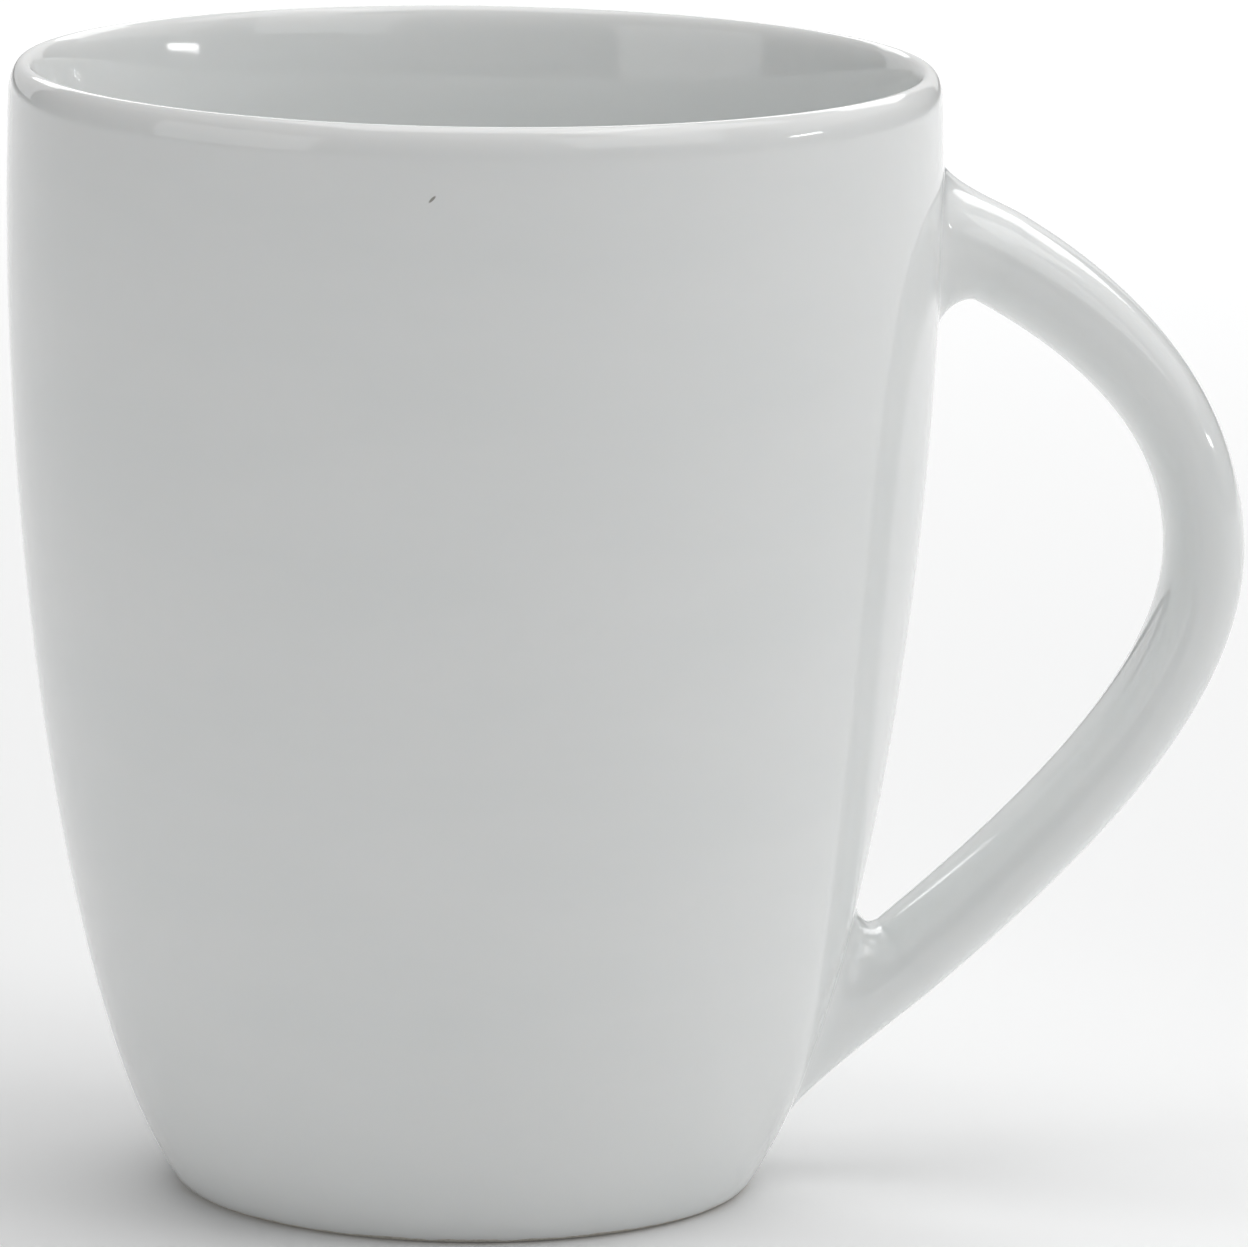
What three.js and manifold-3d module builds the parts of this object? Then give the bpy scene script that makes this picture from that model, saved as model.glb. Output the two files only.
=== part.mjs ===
// A white glazed porcelain mug: a cast cup, a separately cast handle, and the two
// joints of casting slip that hold the handle to the cup.
// Millimetres, +Z up. The cup's axis is vertical and the handle reaches out along +X.
// The origin is under the middle of the whole mug, on the surface that it stands on.

import * as THREE from 'three';
import { mergeVertices } from 'three/addons/utils/BufferGeometryUtils.js';
import Module from 'manifold-3d';

const wasm = await Module();
wasm.setup();

// Cup: overall sizes
const cupHeight = 105;
const rimRadius = 43;             // outside of the wall where the lip starts to round over
const heelRadius = 29;            // outside of the wall where the heel starts to round under
const heelHeight = 4;

// Cup: how the wall's outline swells between heel and rim
const heelLean = radians(28.3);   // from upright, outwards
const heelSwell = 16.7;
const rimLean = radians(1.5);     // from upright, inwards
const rimSwell = 41.6;

// Cup: wall, lip and floor
const lipThickness = 2.8;
const lipRise = 3;                // height over which the lip rounds over
const wallThickness = 3.7;        // at mid height
const heelThickness = 4.4;        // at the bottom of the wall
const heelThickening = 3;         // higher keeps the extra thickness nearer the heel
const thinningStart = 0.93;       // share of the way up from which the wall thins to the lip
const thinningPower = 2;          // higher keeps the thinning nearer the lip
const lipPull = 0.55;             // roundness of the lip's inner side, and 0.55 is near an ellipse
const floorThickness = 3.8;
const floorCorner = 9;            // height of the round between the inside wall and the floor
const cornerPull = 0.6;           // share of that height over which the round starts and ends

// Foot: the ring that the mug stands on, and the recess inside it
const footOuterRadius = 25;
const footInnerRadius = 22.4;
const footSlopeRun = 2.8;         // from the ring's inner edge to the flat of the recess
const footSlopePull = 1.6;        // how far that slope keeps level at its top and its foot
const recessDepth = 2.2;
const floorTop = recessDepth + floorThickness;

// Handle: its centreline, from the upper root round to the lower root
const handleReach = 25.7;         // furthest out, measured from the rim's radius
const upperRootDrop = 15.1;       // below the rim
const lowerRootHeight = 13.9;     // above the foot
const apexRise = 7.3;             // furthest-out point, above the middle of the two roots
const upperRootSlope = radians(24.6);
const lowerRootSlope = radians(39.5);
const upperRootPull = 15.3;       // how far the curve runs along its slope at each root,
const lowerRootPull = 20.4;       // and up and down at the furthest-out point
const upperApexPull = 14.2;
const lowerApexPull = 15.7;

// Handle: its oval section, thickness in the plane of the loop and width across it
const handleSection = {
  upper: { thickness: 9.1, width: 13.6 },
  middle: { thickness: 7.3, width: 12.6 },
  lower: { thickness: 7.8, width: 13.4 },
};
const sectionFullness = 2.3;      // 2 is an ellipse, and more is squarer

// Joints: length along the handle, and half the footprint's width on the wall. On the outer
// and inner side of the loop: the footprint's reach from the root, and how far the flare runs
// along the handle and along the wall.
const upperJoint = {
  length: 6.5,
  halfWidth: 9.2,
  outer: { reach: 6.9, handlePull: 2.6, wallPull: 2.6 },
  inner: { reach: 10, handlePull: 1.7, wallPull: 1.8 },
};
const lowerJoint = {
  length: 11,
  halfWidth: 9,
  outer: { reach: 9, handlePull: 4, wallPull: 3.2 },
  inner: { reach: 13, handlePull: 1.2, wallPull: 1.8 },
};

const seamGap = 0.3;              // between each joint and the cup, and each joint and the handle
const jointDepth = 4;             // how far a joint is made into the wall before it is cut to fit

// Fineness of the faceted surfaces
const turnSegments = 64;
const wallSteps = 22;
const roundSteps = 4;
const handleSides = 20;
const handleSteps = 32;
const jointSteps = 7;
const levelHalvings = 40;
const weldDistance = 1e-4;

function radians(degrees) {
  return THREE.MathUtils.degToRad(degrees);
}

// ---- Cup outline, as (radius, height) ----

const wallFoot = new THREE.Vector2(heelRadius, heelHeight);
const wallTop = new THREE.Vector2(rimRadius, cupHeight - lipRise);
const wallCurve = new THREE.CubicBezierCurve(
  wallFoot,
  new THREE.Vector2(
    wallFoot.x + heelSwell * Math.sin(heelLean),
    wallFoot.y + heelSwell * Math.cos(heelLean),
  ),
  new THREE.Vector2(
    wallTop.x + rimSwell * Math.sin(rimLean),
    wallTop.y - rimSwell * Math.cos(rimLean),
  ),
  wallTop,
);

// Where a height that rises along the outline reaches a level, found by halving the interval.
function alongAtLevel(level, heightAt) {
  let low = 0;
  let high = 1;
  for (let halving = 0; halving < levelHalvings; halving += 1) {
    const middle = (low + high) / 2;
    if (heightAt(middle) < level) low = middle;
    else high = middle;
  }
  return (low + high) / 2;
}

function wallAt(height) {
  const along = alongAtLevel(height, (place) => wallCurve.getPoint(place).y);
  return { point: wallCurve.getPoint(along), tangent: wallCurve.getTangent(along) };
}

function outwardNormal(tangent) {
  return new THREE.Vector2(tangent.y, -tangent.x);
}

function wallThicknessAt(along) {
  const towardsHeel = 1 - along;
  const towardsLip = Math.max((along - thinningStart) / (1 - thinningStart), 0) ** thinningPower;
  const belly = wallThickness + (heelThickness - wallThickness) * towardsHeel ** heelThickening;
  return belly + (lipThickness - wallThickness) * towardsLip;
}

// The heel rounds from the standing face of the foot ring into the wall.
function heelOutline() {
  const start = new THREE.Vector2(footOuterRadius, 0);
  const cornerRadius = heelRadius - heelHeight * Math.tan(heelLean);
  const corner = new THREE.Vector2(Math.max(cornerRadius, footOuterRadius), 0);
  return new THREE.CubicBezierCurve(start, corner, corner, wallFoot).getPoints(roundSteps + 1);
}

function innerWallAt(along) {
  const normal = outwardNormal(wallCurve.getTangent(along));
  return wallCurve.getPoint(along).addScaledVector(normal, -wallThicknessAt(along));
}

// The lip rounds over from the outer face to its crown, and runs in one line into the inner face.
function lipOutline() {
  const halfThickness = lipThickness / 2;
  const crown = new THREE.Vector2(rimRadius - halfThickness, cupHeight);
  const outerSide = new THREE.EllipseCurve(
    crown.x, wallTop.y, halfThickness, lipRise, 0, Math.PI / 2,
  );
  const innerTop = innerWallAt(1);
  const upWall = innerTop.clone().sub(innerWallAt(1 - 1 / wallSteps)).normalize();
  const innerSide = new THREE.CubicBezierCurve(
    crown,
    new THREE.Vector2(crown.x - halfThickness * lipPull, crown.y),
    innerTop.clone().addScaledVector(upWall, lipRise * lipPull),
    innerTop,
  );
  return [...outerSide.getPoints(roundSteps), ...innerSide.getPoints(roundSteps).slice(1)];
}

// From just under the lip down the inner wall, round the floor corner and flat onto the floor.
function insideOutline() {
  const cornerStart = alongAtLevel(floorTop + floorCorner, (place) => innerWallAt(place).y);
  const points = [];
  for (let step = wallSteps - 1; step >= 0; step -= 1) {
    points.push(innerWallAt(THREE.MathUtils.lerp(cornerStart, 1, step / wallSteps)));
  }
  const [wallPointBefore, lastWallPoint] = points.slice(-2);
  const downWall = lastWallPoint.clone().sub(wallPointBefore).normalize();
  const floorEdge = new THREE.Vector2(
    lastWallPoint.x - floorCorner * (1 - downWall.x), floorTop,
  );
  const corner = new THREE.CubicBezierCurve(
    lastWallPoint,
    lastWallPoint.clone().addScaledVector(downWall, floorCorner * cornerPull),
    new THREE.Vector2(floorEdge.x + floorCorner * cornerPull, floorTop),
    floorEdge,
  );
  return [...points, ...corner.getPoints(roundSteps + 2).slice(1), new THREE.Vector2(0, floorTop)];
}

// The recess is flat, and slopes down in a soft S to the inner edge of the foot ring.
function recessOutline() {
  const flatRadius = footInnerRadius - footSlopeRun;
  const slope = new THREE.CubicBezierCurve(
    new THREE.Vector2(flatRadius, recessDepth),
    new THREE.Vector2(flatRadius + footSlopePull, recessDepth),
    new THREE.Vector2(footInnerRadius - footSlopePull, 0),
    new THREE.Vector2(footInnerRadius, 0),
  );
  return [new THREE.Vector2(0, recessDepth), ...slope.getPoints(roundSteps)];
}

// LatheGeometry turns about Y, and the mug's axis is Z.
function turned(outline) {
  const geometry = new THREE.LatheGeometry(outline, turnSegments);
  geometry.rotateX(Math.PI / 2);
  return geometry;
}

function cupGeometry() {
  return turned([
    ...recessOutline(),
    ...heelOutline(),
    ...wallCurve.getPoints(wallSteps).slice(1),
    ...lipOutline().slice(1),
    ...insideOutline(),
  ]);
}

// Everything inside the wall's outer face, grown by the seam gap: what the joints are cut by.
function wallEnvelopeGeometry() {
  const faces = [];
  for (let step = 0; step <= wallSteps; step += 1) {
    const along = step / wallSteps;
    const normal = outwardNormal(wallCurve.getTangent(along));
    faces.push(wallCurve.getPoint(along).addScaledVector(normal, seamGap));
  }
  const outline = [
    new THREE.Vector2(0, -jointDepth),
    new THREE.Vector2(faces[0].x, -jointDepth),
    ...faces,
    new THREE.Vector2(faces.at(-1).x, cupHeight + jointDepth),
    new THREE.Vector2(0, cupHeight + jointDepth),
  ];
  return turned(outline);
}

// ---- Handle centreline, in the XZ plane ----

const apex = new THREE.Vector3(
  rimRadius + handleReach,
  0,
  (cupHeight - upperRootDrop + lowerRootHeight) / 2 + apexRise,
);
const upperRoot = rootOnWall(cupHeight - upperRootDrop);
const lowerRoot = rootOnWall(lowerRootHeight);

const handleCurve = new THREE.CurvePath();
handleCurve.add(new THREE.CubicBezierCurve3(
  upperRoot,
  alongSlope(upperRoot, -upperRootSlope, upperRootPull),
  new THREE.Vector3(apex.x, 0, apex.z + upperApexPull),
  apex,
));
handleCurve.add(new THREE.CubicBezierCurve3(
  apex,
  new THREE.Vector3(apex.x, 0, apex.z - lowerApexPull),
  alongSlope(lowerRoot, lowerRootSlope, lowerRootPull),
  lowerRoot,
));
const handleLength = handleCurve.getLength();
const apexAlong = handleCurve.curves[0].getLength() / handleLength;

function rootOnWall(height) {
  return new THREE.Vector3(wallAt(height).point.x, 0, height);
}

function alongSlope(root, slope, distance) {
  return new THREE.Vector3(
    root.x + distance * Math.cos(slope), 0, root.z + distance * Math.sin(slope),
  );
}

// The section's frame at a place on the centreline: outer points away from the finger gap.
function handleFrame(along) {
  const centre = handleCurve.getPointAt(along);
  const tangent = handleCurve.getTangentAt(along);
  const outer = new THREE.Vector3(-tangent.z, 0, tangent.x);
  return { centre, tangent, outer };
}

// The section changes smoothly from the upper root to the apex and on to the lower root.
function handleSectionAt(along) {
  const { upper, middle, lower } = handleSection;
  const towardsUpper = 1 - THREE.MathUtils.smoothstep(along, 0, apexAlong);
  const towardsLower = THREE.MathUtils.smoothstep(along, apexAlong, 1);
  const mix = (key) => middle[key]
    + (upper[key] - middle[key]) * towardsUpper
    + (lower[key] - middle[key]) * towardsLower;
  return { halfThickness: mix('thickness') / 2, halfWidth: mix('width') / 2 };
}

// A point on the handle's skin. Angle 0 faces +Y, and a quarter turn faces outwards.
function handleSkin(along, angle) {
  const { centre, outer } = handleFrame(along);
  const { halfThickness, halfWidth } = handleSectionAt(along);
  const power = 2 / sectionFullness;
  const across = Math.sign(Math.cos(angle)) * Math.abs(Math.cos(angle)) ** power;
  const outwards = Math.sign(Math.sin(angle)) * Math.abs(Math.sin(angle)) ** power;
  return centre
    .addScaledVector(outer, halfThickness * outwards)
    .add(new THREE.Vector3(0, halfWidth * across, 0));
}

// ---- Lofted solids ----

// A closed drum is shaped ring by ring: place(ring, angle) gives a point of its skin.
function lofted(sides, rings, place) {
  const drum = new THREE.CylinderGeometry(1, 1, 1, sides, rings);
  const positions = drum.attributes.position;
  for (let index = 0; index < positions.count; index += 1) {
    const x = positions.getX(index);
    const z = positions.getZ(index);
    const ring = Math.round((0.5 - positions.getY(index)) * rings);
    const onSkin = Math.hypot(x, z) > 0.5;
    const point = onSkin ? place(ring, Math.atan2(-z, x)) : ringMiddle(sides, ring, place);
    positions.setXYZ(index, point.x, point.y, point.z);
  }
  return drum;
}

function ringMiddle(sides, ring, place) {
  const middle = new THREE.Vector3();
  for (let side = 0; side < sides; side += 1) {
    middle.add(place(ring, (side / sides) * 2 * Math.PI));
  }
  return middle.divideScalar(sides);
}

function toSolid(geometry) {
  const bare = geometry.clone();
  bare.deleteAttribute('normal');
  bare.deleteAttribute('uv');
  const merged = mergeVertices(bare, weldDistance);
  return new wasm.Manifold(new wasm.Mesh({
    numProp: 3,
    vertProperties: new Float32Array(merged.attributes.position.array),
    triVerts: new Uint32Array(merged.index.array),
  }));
}

function toGeometry(solid) {
  const mesh = solid.getMesh();
  const geometry = new THREE.BufferGeometry();
  geometry.setAttribute('position', new THREE.BufferAttribute(mesh.vertProperties, 3));
  geometry.setIndex(new THREE.BufferAttribute(mesh.triVerts, 1));
  geometry.computeVertexNormals();
  return geometry;
}

// ---- Handle and its joints ----

const handleStart = upperJoint.length / handleLength;
const handleEnd = 1 - lowerJoint.length / handleLength;

function handleGeometry() {
  return lofted(handleSides, handleSteps, (ring, angle) => {
    const along = THREE.MathUtils.lerp(handleStart, handleEnd, ring / handleSteps);
    return handleSkin(along, angle);
  });
}

// The footprint's edge on the wall, and the wall's own direction there back to the root.
// The footprint stops where the wall does, at the heel and under the lip.
function footprintEdge(joint, root, outerIsUp, angle) {
  const outwards = Math.sin(angle);
  const { reach } = outwards > 0 ? joint.outer : joint.inner;
  const height = THREE.MathUtils.clamp(
    root.z + reach * outwards * (outerIsUp ? 1 : -1), wallFoot.y, wallTop.y,
  );
  const across = joint.halfWidth * Math.cos(angle);
  const { point, tangent } = wallAt(height);
  const turn = Math.asin(across / point.x);
  const edge = new THREE.Vector3(point.x * Math.cos(turn), across, height);
  const normal = new THREE.Vector3(
    tangent.y * Math.cos(turn), tangent.y * Math.sin(turn), -tangent.x,
  );
  const towardsRoot = root.clone().sub(edge).projectOnPlane(normal).normalize();
  return { edge, normal, towardsRoot };
}

// Round the joint, a pull changes smoothly from its inner value to its outer one.
function pullAt(joint, key, angle) {
  const towardsOuter = (1 + Math.sin(angle)) / 2;
  return THREE.MathUtils.lerp(joint.inner[key], joint.outer[key], towardsOuter);
}

// A joint flares from the handle's end out to its footprint, and is then cut to the wall.
function jointGeometry(joint, along, direction, root, outerIsUp) {
  const skin = (ring, angle) => {
    const start = handleSkin(along, angle);
    const towardsWall = handleFrame(along).tangent.multiplyScalar(direction);
    const { edge, normal, towardsRoot } = footprintEdge(joint, root, outerIsUp, angle);
    if (ring > jointSteps) return edge.addScaledVector(normal, -jointDepth);
    const flare = new THREE.CubicBezierCurve3(
      start,
      start.clone().addScaledVector(towardsWall, pullAt(joint, 'handlePull', angle)),
      edge.clone().addScaledVector(towardsRoot, pullAt(joint, 'wallPull', angle)),
      edge,
    );
    return flare.getPoint(ring / jointSteps);
  };
  const flared = toSolid(facingOut(lofted(handleSides, jointSteps + 1, skin)));
  return toGeometry(flared.subtract(toSolid(wallEnvelopeGeometry())));
}

// A loft that ran the other way round has its faces pointing in, and each is turned over.
function facingOut(geometry) {
  if (signedVolume(geometry) > 0) return geometry;
  const { array } = geometry.index;
  for (let first = 0; first < array.length; first += 3) {
    [array[first + 1], array[first + 2]] = [array[first + 2], array[first + 1]];
  }
  return geometry;
}

function signedVolume(geometry) {
  const corner = (index) => new THREE.Vector3().fromBufferAttribute(
    geometry.attributes.position, geometry.index.getX(index),
  );
  let volume = 0;
  for (let first = 0; first < geometry.index.count; first += 3) {
    volume += corner(first).dot(corner(first + 1).cross(corner(first + 2))) / 6;
  }
  return volume;
}

// ---- Materials and assembly ----

const glazedPorcelain = { color: 0xe8eae7, roughness: 0.1, metalness: 0 };

function piece(name, geometry) {
  const mesh = new THREE.Mesh(geometry, new THREE.MeshStandardMaterial(glazedPorcelain));
  mesh.name = name;
  return mesh;
}

const gapAlong = seamGap / handleLength;
const upperJointGeometry = jointGeometry(
  upperJoint, handleStart - gapAlong, -1, upperRoot, true,
);
const lowerJointGeometry = jointGeometry(
  lowerJoint, handleEnd + gapAlong, 1, lowerRoot, false,
);

const onCupAxis = new THREE.Group();
onCupAxis.add(piece('cup_body', cupGeometry()));
onCupAxis.add(piece('handle', facingOut(handleGeometry())));
onCupAxis.add(piece('upper_handle_joint', upperJointGeometry));
onCupAxis.add(piece('lower_handle_joint', lowerJointGeometry));

// The cup and handle together are centred over the origin.
const extent = new THREE.Box3().setFromObject(onCupAxis);
const middle = extent.getCenter(new THREE.Vector3());
onCupAxis.position.set(-middle.x, -middle.y, -extent.min.z);

const mug = new THREE.Group();
mug.add(onCupAxis);

export default mug;
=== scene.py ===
import math
import bmesh
import bpy
from mathutils import Matrix, Vector


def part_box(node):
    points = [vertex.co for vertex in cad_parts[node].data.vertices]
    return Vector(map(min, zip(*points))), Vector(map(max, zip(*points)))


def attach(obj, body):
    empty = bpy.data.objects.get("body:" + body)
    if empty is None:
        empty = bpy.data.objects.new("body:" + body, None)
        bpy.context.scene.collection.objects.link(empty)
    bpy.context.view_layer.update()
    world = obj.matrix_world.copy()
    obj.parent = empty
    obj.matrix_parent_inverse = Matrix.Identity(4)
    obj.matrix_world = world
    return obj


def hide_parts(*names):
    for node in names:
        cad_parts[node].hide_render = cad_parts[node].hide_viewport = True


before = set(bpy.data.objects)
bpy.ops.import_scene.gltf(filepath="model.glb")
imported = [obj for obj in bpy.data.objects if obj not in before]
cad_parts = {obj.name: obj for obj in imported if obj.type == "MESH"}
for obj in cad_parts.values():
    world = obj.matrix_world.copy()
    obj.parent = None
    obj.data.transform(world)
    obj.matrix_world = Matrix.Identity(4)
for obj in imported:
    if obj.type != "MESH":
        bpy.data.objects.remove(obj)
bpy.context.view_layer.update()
print("frame loaded:", ", ".join(sorted(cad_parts)))

# White glazed porcelain mug: a cup, a handle and the two slip joints between them.
# Everything is in metres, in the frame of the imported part, with +Z up.
mm = 0.001
cupLow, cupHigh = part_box("cup_body")
cupHeight = cupHigh.z
cupAxis = Vector(((cupLow.x + cupHigh.x) / 2, 0, 0))


# a curve of four knots, such as an outline or the handle's centreline is made of
def curveAt(knots, share):
    a, b, c, d = knots
    ab, bc, cd = a.lerp(b, share), b.lerp(c, share), c.lerp(d, share)
    abc, bcd = ab.lerp(bc, share), bc.lerp(cd, share)
    return abc.lerp(bcd, share), (bcd - abc).normalized()


def curvePoints(knots, steps):
    return [curveAt(knots, step / steps)[0] for step in range(steps + 1)]


def smoothStep(low, high, value):
    share = min(max((value - low) / (high - low), 0), 1)
    return share * share * (3 - 2 * share)


def mixed(first, second, share):
    return first + (second - first) * share


# where a height that rises along an outline reaches a level
def shareAtLevel(level, heightAt, halvings=40):
    low, high = 0.0, 1.0
    for halving in range(halvings):
        middle = (low + high) / 2
        if heightAt(middle) < level:
            low = middle
        else:
            high = middle
    return (low + high) / 2


# puts a finished mesh in the scene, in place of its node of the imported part
def finishPiece(bm, name, node, material):
    mesh = bpy.data.meshes.new(name)
    bm.to_mesh(mesh)
    bm.free()
    mesh.shade_smooth()
    mesh.materials.append(material)
    piece = bpy.data.objects.new(name, mesh)
    bpy.context.scene.collection.objects.link(piece)
    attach(piece, "root")
    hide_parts(node)
    print(name, "made with", len(mesh.polygons), "faces")


# a closed drum, 1 tall and 1 in radius, with a hub in each end, whose rings are then placed one by one
def makeDrum(sides, rings, place):
    bm = bmesh.new()
    bmesh.ops.create_cone(
        bm, cap_ends=True, cap_tris=True, segments=sides, radius1=1, radius2=1, depth=1)
    staves = [e for e in bm.edges if abs(e.verts[0].co.z - e.verts[1].co.z) > 0.5]
    bmesh.ops.subdivide_edges(bm, edges=staves, cuts=rings - 1, use_grid_fill=True)
    hubs = [v for v in bm.verts if v.co.xy.length < 0.5]
    for vert in bm.verts:
        if vert not in hubs:
            ring = round((vert.co.z + 0.5) * rings)
            vert.co = place(ring, math.atan2(vert.co.y, vert.co.x))
    for hub in hubs:
        around = [edge.other_vert(hub).co for edge in hub.link_edges]
        hub.co = sum(around, Vector()) / len(around)
    bmesh.ops.recalc_face_normals(bm, faces=bm.faces)
    return bm


# one coat of clear glaze over white clay, and the bare clay that it leaves on the standing ring
glaze = {
    "tint": (0.895, 0.908, 0.902),
    "deepTint": (0.874, 0.892, 0.887),   # where the coat lies a little thicker
    "thinAndLitLipTint": (0.920, 0.925, 0.916),   # partly where the glaze runs thin over the lip, and partly painted light: the lip is made lighter to stand in for the light falling on it from above
    "thinAndLitLipRise": 2.6 * mm,                # how far below the rim the thinner glaze and the painted lighter lip start
    "noiseRoughness": 0.55,
    "cloudScale": 26,                    # drifts in the coat, about 40 mm across
    "cloudDetail": 3,
    "cloudRange": (0.35, 0.70),
    "ringStretch": 3.2,                  # they lie round the cup, as the coat drained while it turned
    "mottleScale": 420,                  # finer mottle, about 2 mm across
    "mottleDetail": 2,
    "mottleRange": (0.40, 0.75),
    "mottleDepth": 0.35,                 # beside the drifts
    "speckScale": 105,                   # one place for a speck every 9 mm or so
    "speckShare": 0.035,                 # of those places have one
    "speckRadius": 0.028,                # of the spacing
    "speckCore": 0.5,                    # of the radius is full dark
    "speckTint": (0.30, 0.29, 0.26),
    "markPlace": (-22.2 * mm, -42.4 * mm, 98.7 * mm),      # one longer speck below the lip
    "markTurn": math.radians(-46),       # runs up to the right
    "markSize": (0.40 * mm, 0.50 * mm, 0.12 * mm),
    "markFade": (0.7, 1.3),              # of its size, from dark to none
    "markStrength": 0.9,
    "polishScale": 130,                  # patches a little less glossy than others
    "polishDetail": 4,
    "polishRange": (0.30, 0.75),
    "roughness": (0.045, 0.085),
    "rippleScale": 150,                  # slow ripples that bend the reflections
    "rippleDetail": 1,
    "rippleHeight": 0.006 * mm,
    "peelScale": 900,                    # the faint orange peel of fired glaze
    "peelDetail": 2,
    "peelHeight": 0.0009 * mm,
    "clearness": 1.52,                   # index of refraction of the fired coat
    "glow": 0.10,                        # light that goes into the clay and comes out again
    "glowTint": (1.0, 0.9, 0.8),         # red goes a little further in the clay
    "glowReach": 1.4 * mm,
}
bareClay = {
    "tint": (0.66, 0.63, 0.57),
    "darkTint": (0.50, 0.47, 0.41),
    "grainScale": 3200,
    "grainDetail": 3,
    "grainRange": (0.45, 0.75),
    "grainHeight": 0.012 * mm,
    "roughness": 0.74,
    "top": 0.42 * mm,                    # how far the bare ring comes up the foot
    "edge": 0.10 * mm,                   # over which the glaze gives out
    "waver": 0.18 * mm,                  # of that edge, up and down
    "waverRange": (0.3, 0.7),
}


def addNode(nodes, kind, **settings):
    node = nodes.new(kind)
    for key, value in settings.items():
        setattr(node, key, value)
    return node


# joins each input to another node's output or to a plain value; at6 stands for the input numbered 6
def setInputs(links, node, **inputs):
    for key, value in inputs.items():
        socket = node.inputs[int(key[2:]) if key.startswith("at") else key.replace("_", " ")]
        if isinstance(value, bpy.types.NodeSocket):
            links.new(value, socket)
        else:
            socket.default_value = value
    return node


def makeGlaze(name, onCup):
    material = bpy.data.materials.new(name)
    material.use_nodes = True
    nodes, links = material.node_tree.nodes, material.node_tree.links
    skin = nodes["Principled BSDF"]
    place = addNode(nodes, "ShaderNodeTexCoord").outputs["Object"]
    height = addNode(nodes, "ShaderNodeSeparateXYZ")
    links.new(place, height.inputs[0])
    level = height.outputs["Z"]

    def noise(finish, what, vector=place):
        node = addNode(nodes, "ShaderNodeTexNoise")
        setInputs(
            links, node, Vector=vector, Scale=finish[what + "Scale"],
            Detail=finish[what + "Detail"], Roughness=glaze["noiseRoughness"])
        return node.outputs["Fac"]

    def spread(value, low, high, start=0.0, end=1.0):
        node = addNode(nodes, "ShaderNodeMapRange", interpolation_type="SMOOTHSTEP")
        setInputs(links, node, Value=value, From_Min=low, From_Max=high, To_Min=start, To_Max=end)
        return node.outputs["Result"]

    def blend(share, first, second):
        node = addNode(nodes, "ShaderNodeMix", data_type="RGBA")
        setInputs(links, node, at0=share, at6=first, at7=second)
        return node.outputs[2]

    def combine(operation, first, second):
        node = addNode(nodes, "ShaderNodeMath", operation=operation)
        setInputs(links, node, at0=first, at1=second)
        return node.outputs[0]

    # drifts and mottle in the depth of the coat
    stretched = addNode(nodes, "ShaderNodeMapping")
    setInputs(links, stretched, Vector=place, Scale=(1, 1, glaze["ringStretch"]))
    drift = spread(noise(glaze, "cloud", stretched.outputs[0]), *glaze["cloudRange"])
    mottle = spread(noise(glaze, "mottle"), *glaze["mottleRange"], 0, glaze["mottleDepth"])
    depth = combine("MAXIMUM", drift, mottle)
    tint = blend(depth, (*glaze["tint"], 1), (*glaze["deepTint"], 1))
    # the lip is lighter near the rim: partly thinner glaze, and partly painted light standing in for the
    # light from above
    thinAndLitLip = spread(level, cupHeight - glaze["thinAndLitLipRise"], cupHeight)
    tint = blend(thinAndLitLip, tint, (*glaze["thinAndLitLipTint"], 1))

    # a few iron specks
    specks = addNode(nodes, "ShaderNodeTexVoronoi")
    setInputs(links, specks, Vector=place, Scale=glaze["speckScale"], Randomness=1.0)
    chosen = addNode(nodes, "ShaderNodeSeparateColor")
    links.new(specks.outputs["Color"], chosen.inputs[0])
    isChosen = combine("LESS_THAN", chosen.outputs[0], glaze["speckShare"])
    speckCore = glaze["speckRadius"] * glaze["speckCore"]
    near = spread(specks.outputs["Distance"], speckCore, glaze["speckRadius"], 1, 0)
    tint = blend(combine("MULTIPLY", isChosen, near), tint, (*glaze["speckTint"], 1))

    if onCup:
        spot = addNode(nodes, "ShaderNodeMapping", vector_type="TEXTURE")
        setInputs(
            links, spot, Vector=place, Location=glaze["markPlace"],
            Rotation=(0, glaze["markTurn"], 0), Scale=glaze["markSize"])
        fromSpot = addNode(nodes, "ShaderNodeVectorMath", operation="LENGTH")
        links.new(spot.outputs[0], fromSpot.inputs[0])
        mark = spread(fromSpot.outputs["Value"], *glaze["markFade"], glaze["markStrength"], 0)
        tint = blend(mark, tint, (*glaze["speckTint"], 1))

    polish = spread(noise(glaze, "polish"), *glaze["polishRange"], *glaze["roughness"])
    ripples = addNode(nodes, "ShaderNodeBump")
    setInputs(links, ripples, Height=noise(glaze, "ripple"), Distance=glaze["rippleHeight"])
    peel = addNode(nodes, "ShaderNodeBump")
    setInputs(
        links, peel, Height=noise(glaze, "peel"), Distance=glaze["peelHeight"],
        Normal=ripples.outputs[0])
    surface = peel.outputs[0]

    if onCup:
        # the standing ring is wiped clean of glaze before firing
        grain = noise(bareClay, "grain")
        edge = spread(noise(glaze, "mottle"), *bareClay["waverRange"], 0, bareClay["waver"])
        aboveEdge = combine("SUBTRACT", level, edge)
        bare = spread(aboveEdge, bareClay["top"] - bareClay["edge"], bareClay["top"], 1, 0)
        grainy = spread(grain, *bareClay["grainRange"])
        clay = blend(grainy, (*bareClay["tint"], 1), (*bareClay["darkTint"], 1))
        tint = blend(bare, tint, clay)
        polish = combine("MAXIMUM", polish, combine("MULTIPLY", bare, bareClay["roughness"]))
        grit = addNode(nodes, "ShaderNodeBump")
        setInputs(
            links, grit, Height=combine("MULTIPLY", grain, bare), Distance=bareClay["grainHeight"],
            Normal=surface)
        surface = grit.outputs[0]

    setInputs(
        links, skin, Base_Color=tint, Roughness=polish, Normal=surface, IOR=glaze["clearness"],
        Subsurface_Weight=glaze["glow"], Subsurface_Radius=glaze["glowTint"],
        Subsurface_Scale=glaze["glowReach"])
    return material


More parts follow.
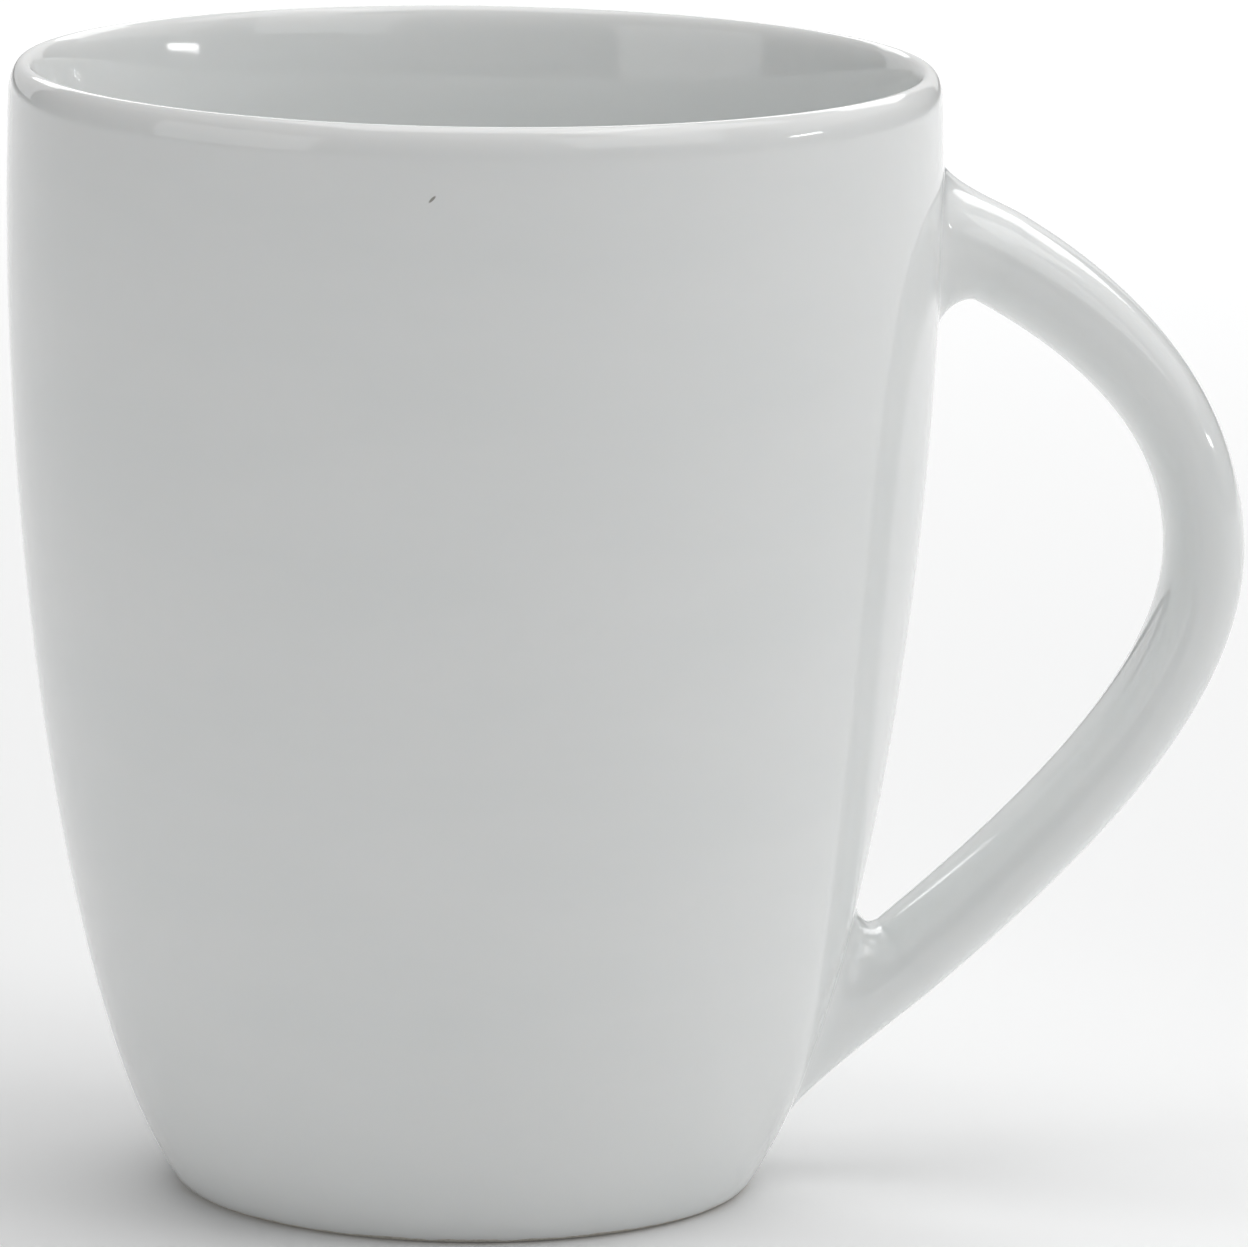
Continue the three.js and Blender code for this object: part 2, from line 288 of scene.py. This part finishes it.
# the cup is spun from one outline: foot, heel, wall, lip, inside wall and floor
cup = {
    "rimRadius": 43.0 * mm,
    "heelRadius": 29.0 * mm,
    "heelHeight": 4.0 * mm,
    "heelLean": math.radians(28.3),      # from upright, outwards
    "heelSwell": 16.7 * mm,
    "rimLean": math.radians(1.5),        # from upright, inwards
    "rimSwell": 41.6 * mm,
    "lipThickness": 2.8 * mm,
    "lipRise": 3.0 * mm,
    "lipPull": 0.55,                     # more is squarer, on the inner side of the lip
    "justUnderLip": 0.999,               # share of the way up, for the way the inside runs into the lip
    "wallThickness": 3.7 * mm,
    "thinningStart": 0.93,               # share of the way up from which the inside leans out to the lip
    "thinningPower": 2,
    "heelThickness": 4.4 * mm,
    "heelPower": 3,                      # more keeps the thick part nearer the heel
    "floorTop": 6.0 * mm,
    "floorCorner": 9.0 * mm,
    "cornerPull": 0.6,
    "footOuter": 25.0 * mm,
    "footInner": 22.4 * mm,
    "footSlope": 2.8 * mm,
    "footSlopePull": 1.6 * mm,
    "recessDepth": 2.2 * mm,
    "turns": 224,
    "wallSteps": 110,
    "roundSteps": 16,
    "weldDistance": 0.001 * mm,
}
wallFoot = Vector((cup["heelRadius"], cup["heelHeight"]))
wallTop = Vector((cup["rimRadius"], cupHeight - cup["lipRise"]))
wallKnots = [
    wallFoot,
    wallFoot + cup["heelSwell"] * Vector((math.sin(cup["heelLean"]), math.cos(cup["heelLean"]))),
    wallTop + cup["rimSwell"] * Vector((math.sin(cup["rimLean"]), -math.cos(cup["rimLean"]))),
    wallTop,
]


def wallAtHeight(height):
    share = shareAtLevel(height, lambda place: curveAt(wallKnots, place)[0].y)
    return curveAt(wallKnots, share)


def insideAt(share):
    point, heading = curveAt(wallKnots, share)
    pastStart = max((share - cup["thinningStart"]) / (1 - cup["thinningStart"]), 0)
    thickness = mixed(cup["wallThickness"], cup["heelThickness"], (1 - share) ** cup["heelPower"])
    thickness += (cup["lipThickness"] - cup["wallThickness"]) * pastStart ** cup["thinningPower"]
    return point - thickness * Vector((heading.y, -heading.x))


def footOutline():
    flat = cup["footInner"] - cup["footSlope"]
    slope = [
        Vector((flat, cup["recessDepth"])),
        Vector((flat + cup["footSlopePull"], cup["recessDepth"])),
        Vector((cup["footInner"] - cup["footSlopePull"], 0)),
        Vector((cup["footInner"], 0)),
    ]
    corner = Vector((cup["heelRadius"] - cup["heelHeight"] * math.tan(cup["heelLean"]), 0))
    heel = [Vector((cup["footOuter"], 0)), corner, corner, wallFoot]
    middle = Vector((0, cup["recessDepth"]))
    return [middle] + curvePoints(slope, cup["roundSteps"]) + curvePoints(heel, cup["roundSteps"])


# rounds over from the outer face to the crown, and runs in one line into the inner face
def lipOutline():
    half, rise, steps = cup["lipThickness"] / 2, cup["lipRise"], cup["roundSteps"]
    crown = Vector((wallTop.x - half, cupHeight))
    turns = [0.5 * math.pi * step / steps for step in range(1, steps)]
    outerSide = [
        Vector((crown.x + half * math.cos(turn), wallTop.y + rise * math.sin(turn)))
        for turn in turns
    ]
    innerTop = insideAt(1)
    upWall = (innerTop - insideAt(cup["justUnderLip"])).normalized()
    innerSide = [
        crown,
        crown - Vector((half * cup["lipPull"], 0)),
        innerTop + upWall * rise * cup["lipPull"],
        innerTop,
    ]
    return outerSide + curvePoints(innerSide, steps)


def insideOutline():
    floorTop, reach = cup["floorTop"], cup["floorCorner"]
    cornerStart = shareAtLevel(floorTop + reach, lambda place: insideAt(place).y)
    shares = [mixed(1, cornerStart, step / cup["wallSteps"]) for step in range(cup["wallSteps"] + 1)]
    wall = [insideAt(share) for share in shares]
    downWall = (wall[-1] - wall[-2]).normalized()
    floorEdge = Vector((wall[-1].x - reach * (1 - downWall.x), floorTop))
    corner = [
        wall[-1],
        wall[-1] + downWall * reach * cup["cornerPull"],
        floorEdge + Vector((reach * cup["cornerPull"], 0)),
        floorEdge,
    ]
    return wall + curvePoints(corner, cup["roundSteps"]) + [Vector((0, floorTop))]


def makeCup(material):
    outline = footOutline() + curvePoints(wallKnots, cup["wallSteps"]) + lipOutline() + insideOutline()
    bm = bmesh.new()
    chain = [bm.verts.new(cupAxis + Vector((point.x, 0, point.y))) for point in outline]
    rail = [bm.edges.new(pair) for pair in zip(chain, chain[1:])]
    bmesh.ops.spin(
        bm, geom=chain + rail, cent=cupAxis, axis=(0, 0, 1), angle=2 * math.pi,
        steps=cup["turns"], use_merge=True)
    bmesh.ops.remove_doubles(bm, verts=bm.verts, dist=cup["weldDistance"])
    bmesh.ops.recalc_face_normals(bm, faces=bm.faces)
    finishPiece(bm, "Cup", "cup_body", material)


# the handle is a rounded strip along two arcs that meet where it is furthest out
handle = {
    "reach": 25.7 * mm,                  # furthest out, measured from the rim's radius
    "upperDrop": 15.1 * mm,              # the upper root, below the rim
    "lowerHeight": 13.9 * mm,
    "apexRise": 7.3 * mm,
    "upperSlope": math.radians(24.6),
    "lowerSlope": math.radians(39.5),
    "upperRootPull": 15.3 * mm,
    "lowerRootPull": 20.4 * mm,
    "upperApexPull": 14.2 * mm,
    "lowerApexPull": 15.7 * mm,
    "thickness": (9.1 * mm, 7.3 * mm, 7.8 * mm),   # at the upper end, the apex and the lower end
    "width": (13.6 * mm, 12.6 * mm, 13.4 * mm),
    "fullness": 2.3,                     # 2 is an ellipse, and more is squarer
    "sides": 72,
    "rings": 220,
    "tuck": 2.4 * mm,                    # how far each end runs on inside its joint
    "tuckSink": 0.45 * mm,               # under the joint's surface, at the very end
}


def rootAt(height):
    return Vector((wallAtHeight(height)[0].x, 0, height))


def onSlope(root, slope, distance):
    return root + distance * Vector((math.cos(slope), 0, math.sin(slope)))


def handleCentreline():
    upperRoot = rootAt(cupHeight - handle["upperDrop"])
    lowerRoot = rootAt(handle["lowerHeight"])
    apexHeight = (upperRoot.z + lowerRoot.z) / 2 + handle["apexRise"]
    apex = Vector((cup["rimRadius"] + handle["reach"], 0, apexHeight))
    upperHalf = [
        upperRoot,
        onSlope(upperRoot, -handle["upperSlope"], handle["upperRootPull"]),
        apex + Vector((0, 0, handle["upperApexPull"])),
        apex,
    ]
    lowerHalf = [
        apex,
        apex - Vector((0, 0, handle["lowerApexPull"])),
        onSlope(lowerRoot, handle["lowerSlope"], handle["lowerRootPull"]),
        lowerRoot,
    ]
    return upperHalf, lowerHalf


# places along the centreline, each with its distance from the upper root
def measureCentreline(steps=300):
    marks, travelled, last = [], 0, None
    for half in handleCentreline():
        for step in range(steps + 1):
            point, heading = curveAt(half, step / steps)
            travelled += (point - last).length if last else 0
            marks.append((travelled, point, heading))
            last = point
    return marks, marks[steps][0]


centreMarks, apexDistance = measureCentreline()
handleLength = centreMarks[-1][0]


def centreAt(distance):
    low, high = 0, len(centreMarks) - 1
    while high - low > 1:
        middle = (low + high) // 2
        if centreMarks[middle][0] <= distance:
            low = middle
        else:
            high = middle
    before, after = centreMarks[low], centreMarks[high]
    share = (distance - before[0]) / (after[0] - before[0])
    return before[1].lerp(after[1], share), before[2].lerp(after[2], share).normalized()


def sizeAt(key, distance):
    upper, middle, lower = handle[key]
    towardsUpper = 1 - smoothStep(0, apexDistance, distance)
    towardsLower = smoothStep(apexDistance, handleLength, distance)
    return middle + (upper - middle) * towardsUpper + (lower - middle) * towardsLower


# a point of the handle's skin: angle 0 faces +Y, and a quarter turn faces out of the loop
def handleSkin(distance, angle, sink=0):
    centre, heading = centreAt(distance)
    outwards = Vector((-heading.z, 0, heading.x))
    power = 2 / handle["fullness"]
    across = math.copysign(abs(math.cos(angle)) ** power, math.cos(angle))
    out = math.copysign(abs(math.sin(angle)) ** power, math.sin(angle))
    halfThickness = sizeAt("thickness", distance) / 2 - sink
    halfWidth = sizeAt("width", distance) / 2 - sink
    return centre + outwards * halfThickness * out + Vector((0, halfWidth * across, 0))


def makeHandle(material):
    start, end = upperSeam - handle["tuck"], lowerSeam + handle["tuck"]

    def place(ring, angle):
        distance = mixed(start, end, ring / handle["rings"])
        beyond = max(upperSeam - distance, distance - lowerSeam, 0) / handle["tuck"]
        return cupAxis + handleSkin(distance, angle, handle["tuckSink"] * beyond * beyond)

    bm = makeDrum(handle["sides"], handle["rings"], place)
    finishPiece(bm, "Handle", "handle", material)


# each joint flares from the handle's end to a footprint on the wall
joints = {
    "upper": {
        "name": "UpperJoint", "node": "upper_handle_joint",
        "length": 6.5 * mm, "halfWidth": 9.2 * mm,
        "outer": {"reach": 6.9 * mm, "handlePull": 2.6 * mm, "wallPull": 2.6 * mm},
        "inner": {"reach": 10.0 * mm, "handlePull": 1.7 * mm, "wallPull": 1.8 * mm},
    },
    "lower": {
        "name": "LowerJoint", "node": "lower_handle_joint",
        "length": 11.0 * mm, "halfWidth": 9.0 * mm,
        "outer": {"reach": 9.0 * mm, "handlePull": 4.0 * mm, "wallPull": 3.2 * mm},
        "inner": {"reach": 13.0 * mm, "handlePull": 1.2 * mm, "wallPull": 1.8 * mm},
    },
}
jointMesh = {
    "tuckRings": 6,                      # rings that run on inside the handle, and inside the wall
    "tuckStep": 0.18 * mm,
    "sink": 0.05 * mm,                   # under the surface, at the last of those rings
    "flareRings": 44,
    "depth": 1.6 * mm,                   # of the joint's closed end, inside the wall
}
upperSeam = joints["upper"]["length"]    # distances along the centreline
lowerSeam = handleLength - joints["lower"]["length"]


# the edge of a joint's footprint on the wall, the wall's normal there, and its way back to the root
def footprintEdge(joint, root, upwards, angle, wider=0):
    out = math.sin(angle)
    reach = joint["outer" if out > 0 else "inner"]["reach"] + wider
    height = root.z + reach * out * upwards
    across = (joint["halfWidth"] + wider) * math.cos(angle)
    point, heading = wallAtHeight(height)
    turn = math.asin(across / point.x)
    edge = Vector((point.x * math.cos(turn), across, height))
    normal = Vector((heading.y * math.cos(turn), heading.y * math.sin(turn), -heading.x))
    back = root - edge
    back = (back - normal * back.dot(normal)).normalized()
    return edge, normal, back


def makeJoint(which, material):
    joint = joints[which]
    isUpper = which == "upper"
    seam, upwards, towardsWall = (upperSeam, 1, -1) if isUpper else (lowerSeam, -1, 1)
    root = centreMarks[0 if isUpper else -1][1]
    tucks, step, flares = jointMesh["tuckRings"], jointMesh["tuckStep"], jointMesh["flareRings"]

    def sunk(rings):
        return jointMesh["sink"] * (rings / tucks) ** 2

    def pull(key, angle):
        return mixed(joint["inner"][key], joint["outer"][key], (1 + math.sin(angle)) / 2)

    def place(ring, angle):
        beforeSeam = tucks - ring
        if beforeSeam > 0:
            return cupAxis + handleSkin(
                seam - towardsWall * beforeSeam * step, angle, sunk(beforeSeam))
        pastEdge = ring - tucks - flares
        if pastEdge > tucks:
            edge, normal, back = footprintEdge(joint, root, upwards, angle, tucks * step)
            return cupAxis + edge - normal * jointMesh["depth"]
        if pastEdge > 0:
            edge, normal, back = footprintEdge(joint, root, upwards, angle, pastEdge * step)
            return cupAxis + edge - normal * sunk(pastEdge)
        start = handleSkin(seam, angle)
        ahead = (handleSkin(seam + towardsWall * step, angle) - start).normalized()
        edge, normal, back = footprintEdge(joint, root, upwards, angle)
        flare = [
            start, start + ahead * pull("handlePull", angle),
            edge + back * pull("wallPull", angle), edge,
        ]
        return cupAxis + curveAt(flare, (ring - tucks) / flares)[0]

    bm = makeDrum(handle["sides"], 2 * tucks + flares + 1, place)
    finishPiece(bm, joint["name"], joint["node"], material)


cupGlaze = makeGlaze("cupGlaze", True)
handleGlaze = makeGlaze("handleGlaze", False)
makeCup(cupGlaze)
makeHandle(handleGlaze)
makeJoint("upper", handleGlaze)
makeJoint("lower", handleGlaze)
print("pieces made")


# the camera stands a long way in front and a little above
cameraView = {
    "turn": math.radians(6.0),           # round the cup, so that the handle points a little away
    "tilt": math.radians(10.81),         # downwards
    "roll": math.radians(0.865),
    "side": 14.3 * mm,
    "back": 932.1 * mm,
    "height": 230.8 * mm,
    "lens": 294.8,
    "sensorWidth": 36,
    "nearest": 0.05,
    "furthest": 20,
}


def makeCamera():
    data = bpy.data.cameras.new("camera")
    data.lens = cameraView["lens"]
    data.sensor_width = cameraView["sensorWidth"]
    data.clip_start, data.clip_end = cameraView["nearest"], cameraView["furthest"]
    camera = bpy.data.objects.new("camera", data)
    bpy.context.scene.collection.objects.link(camera)
    turn = Matrix.Rotation(-cameraView["turn"], 4, "Z")
    stand = Vector((cameraView["side"], -cameraView["back"], cameraView["height"]))
    aim = Matrix.Rotation(math.pi / 2 - cameraView["tilt"], 4, "X")
    roll = Matrix.Rotation(cameraView["roll"], 4, "Z")
    camera.matrix_world = Matrix.Translation(cupAxis) @ turn @ Matrix.Translation(stand) @ aim @ roll
    bpy.context.scene.camera = camera


# a pale table, wide soft lamps all round it, and a dim even room
studio = {
    "floorTint": (0.90, 0.90, 0.90),
    "floorGlow": 0.04,                   # the table is lit a little from inside
    "floorRoughness": 0.8,
    "floorShine": 0.1,
    "floorHalf": 3.0,
    "airTint": (0.92, 0.95, 0.96),
    "airStrength": 0.06,
    "height": 50 * mm,                   # of the point that the lamps are turned to
    "away": 1.3,
    # Each lamp stands some degrees round from the camera, to the right, and some degrees up.
    # Its size is width and height, and it is turned to the cup or to a point behind it.
    "lamps": {
        "ceiling": {"around": 0, "up": 90, "size": (1.10, 1.10), "brightness": 2.3},
        "window": {"around": -61, "up": 15, "size": (1.05, 0.62), "brightness": 1.1},
        "rightFront": {"around": 45, "up": 30, "size": (0.90, 0.60), "brightness": 1.1},
        "rightHigh": {"around": 75, "up": 58, "size": (1.00, 0.70), "brightness": 1.75},
        "rightBack": {"around": 110, "up": 30, "size": (1.20, 0.60), "brightness": 0.5},
        "backLow": {"around": 190, "up": 14, "size": (1.60, 0.60), "brightness": 0.6},
        "backWash": {"around": 180, "up": 30, "size": (1.80, 0.50), "brightness": 2.4, "aimBehind": 0.9},
        "spark": {"around": 88, "up": 11, "size": (0.24, 0.05), "brightness": 14.0},
    },
}


def makeFloor():
    bm = bmesh.new()
    bmesh.ops.create_grid(bm, x_segments=1, y_segments=1, size=studio["floorHalf"])
    mesh = bpy.data.meshes.new("floor")
    bm.to_mesh(mesh)
    bm.free()
    floor = bpy.data.objects.new("floor", mesh)
    bpy.context.scene.collection.objects.link(floor)
    paint = bpy.data.materials.new("floorPaint")
    paint.use_nodes = True
    skin = paint.node_tree.nodes["Principled BSDF"]
    skin.inputs["Base Color"].default_value = (*studio["floorTint"], 1)
    skin.inputs["Emission Color"].default_value = (1, 1, 1, 1)
    skin.inputs["Emission Strength"].default_value = studio["floorGlow"]
    skin.inputs["Roughness"].default_value = studio["floorRoughness"]
    skin.inputs["Specular IOR Level"].default_value = studio["floorShine"]
    mesh.materials.append(paint)


def makeLamps():
    middle = cupAxis + Vector((0, 0, studio["height"]))
    for name, settings in studio["lamps"].items():
        turn = math.radians(settings["around"]) - cameraView["turn"]
        rise = math.radians(settings["up"])
        way = Vector((math.sin(turn) * math.cos(rise), -math.cos(turn) * math.cos(rise), math.sin(rise)))
        data = bpy.data.lights.new(name, "AREA")
        data.shape = "RECTANGLE"
        width, height = settings["size"]
        data.size, data.size_y = width, height
        data.energy = math.pi * width * height * settings["brightness"]
        lamp = bpy.data.objects.new(name, data)
        lamp.location = middle + way * studio["away"]
        look = middle + Vector((0, settings.get("aimBehind", 0), 0)) - lamp.location
        lamp.rotation_mode = "QUATERNION"
        lamp.rotation_quaternion = look.to_track_quat("-Z", "Y")
        bpy.context.scene.collection.objects.link(lamp)


def makeAir():
    world = bpy.data.worlds.new("air")
    world.use_nodes = True
    glow = world.node_tree.nodes["Background"]
    glow.inputs["Color"].default_value = (*studio["airTint"], 1)
    glow.inputs["Strength"].default_value = studio["airStrength"]
    bpy.context.scene.world = world


makeCamera()
makeFloor()
makeLamps()
makeAir()
bpy.context.scene.view_settings.view_transform = "Standard"
print("camera, floor and lights made")
